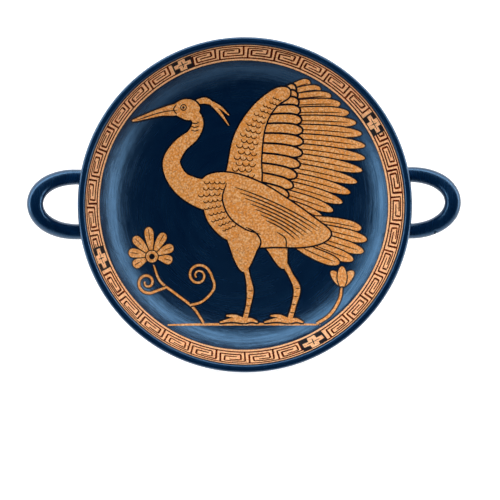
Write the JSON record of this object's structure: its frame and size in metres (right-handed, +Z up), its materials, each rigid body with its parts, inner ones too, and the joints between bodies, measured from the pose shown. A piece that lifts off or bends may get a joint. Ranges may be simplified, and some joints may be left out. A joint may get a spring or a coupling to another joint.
{
  "type": "kylix cup",
  "caption": "Wide shallow stemmed drinking cup in fired clay with gloss-black slip, a key-pattern band inside the lip and two loop handles on a disc foot.",
  "frame": {"origin": "middle of the resting ring under the foot, on the surface that the cup stands on", "axes": "+Z up along the axis of the bowl and stem; the two handles lie on +X and -X; +Y is the picture's top"},
  "size_m": [0.2603, 0.2, 0.08],
  "materials": {
    "black_glaze": "gloss blue-black slip with brush streaks over orange fired clay, which is left bare in the border and the picture"
  },
  "bodies": {
    "root": {"kylix_cup": "black_glaze"}
  },
  "joints": []
}
